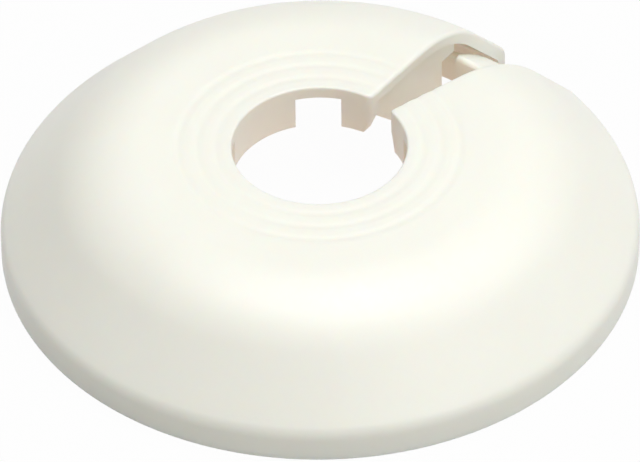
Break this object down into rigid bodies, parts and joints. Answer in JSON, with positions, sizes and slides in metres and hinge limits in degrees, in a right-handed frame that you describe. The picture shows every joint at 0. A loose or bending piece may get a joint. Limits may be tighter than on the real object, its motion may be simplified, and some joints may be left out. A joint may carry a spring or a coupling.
{
  "type": "radiator pipe collar",
  "caption": "Round domed collar with a flared split, a notched pipe sleeve and a lap tongue, which springs around a radiator pipe and hides the hole it leaves in a floor or wall.",
  "frame": {"origin": "centre of the rim's foot, on the pipe's axis", "axes": "+Z along the pipe, out of the floor or wall that the collar covers; +X along the split, from the pipe to the rim"},
  "size_m": [0.0547, 0.055, 0.0112],
  "materials": {
    "collar_plastic": "satin moulded off-white polypropylene"
  },
  "bodies": {
    "root": {"pipe_collar": "collar_plastic"}
  },
  "joints": []
}
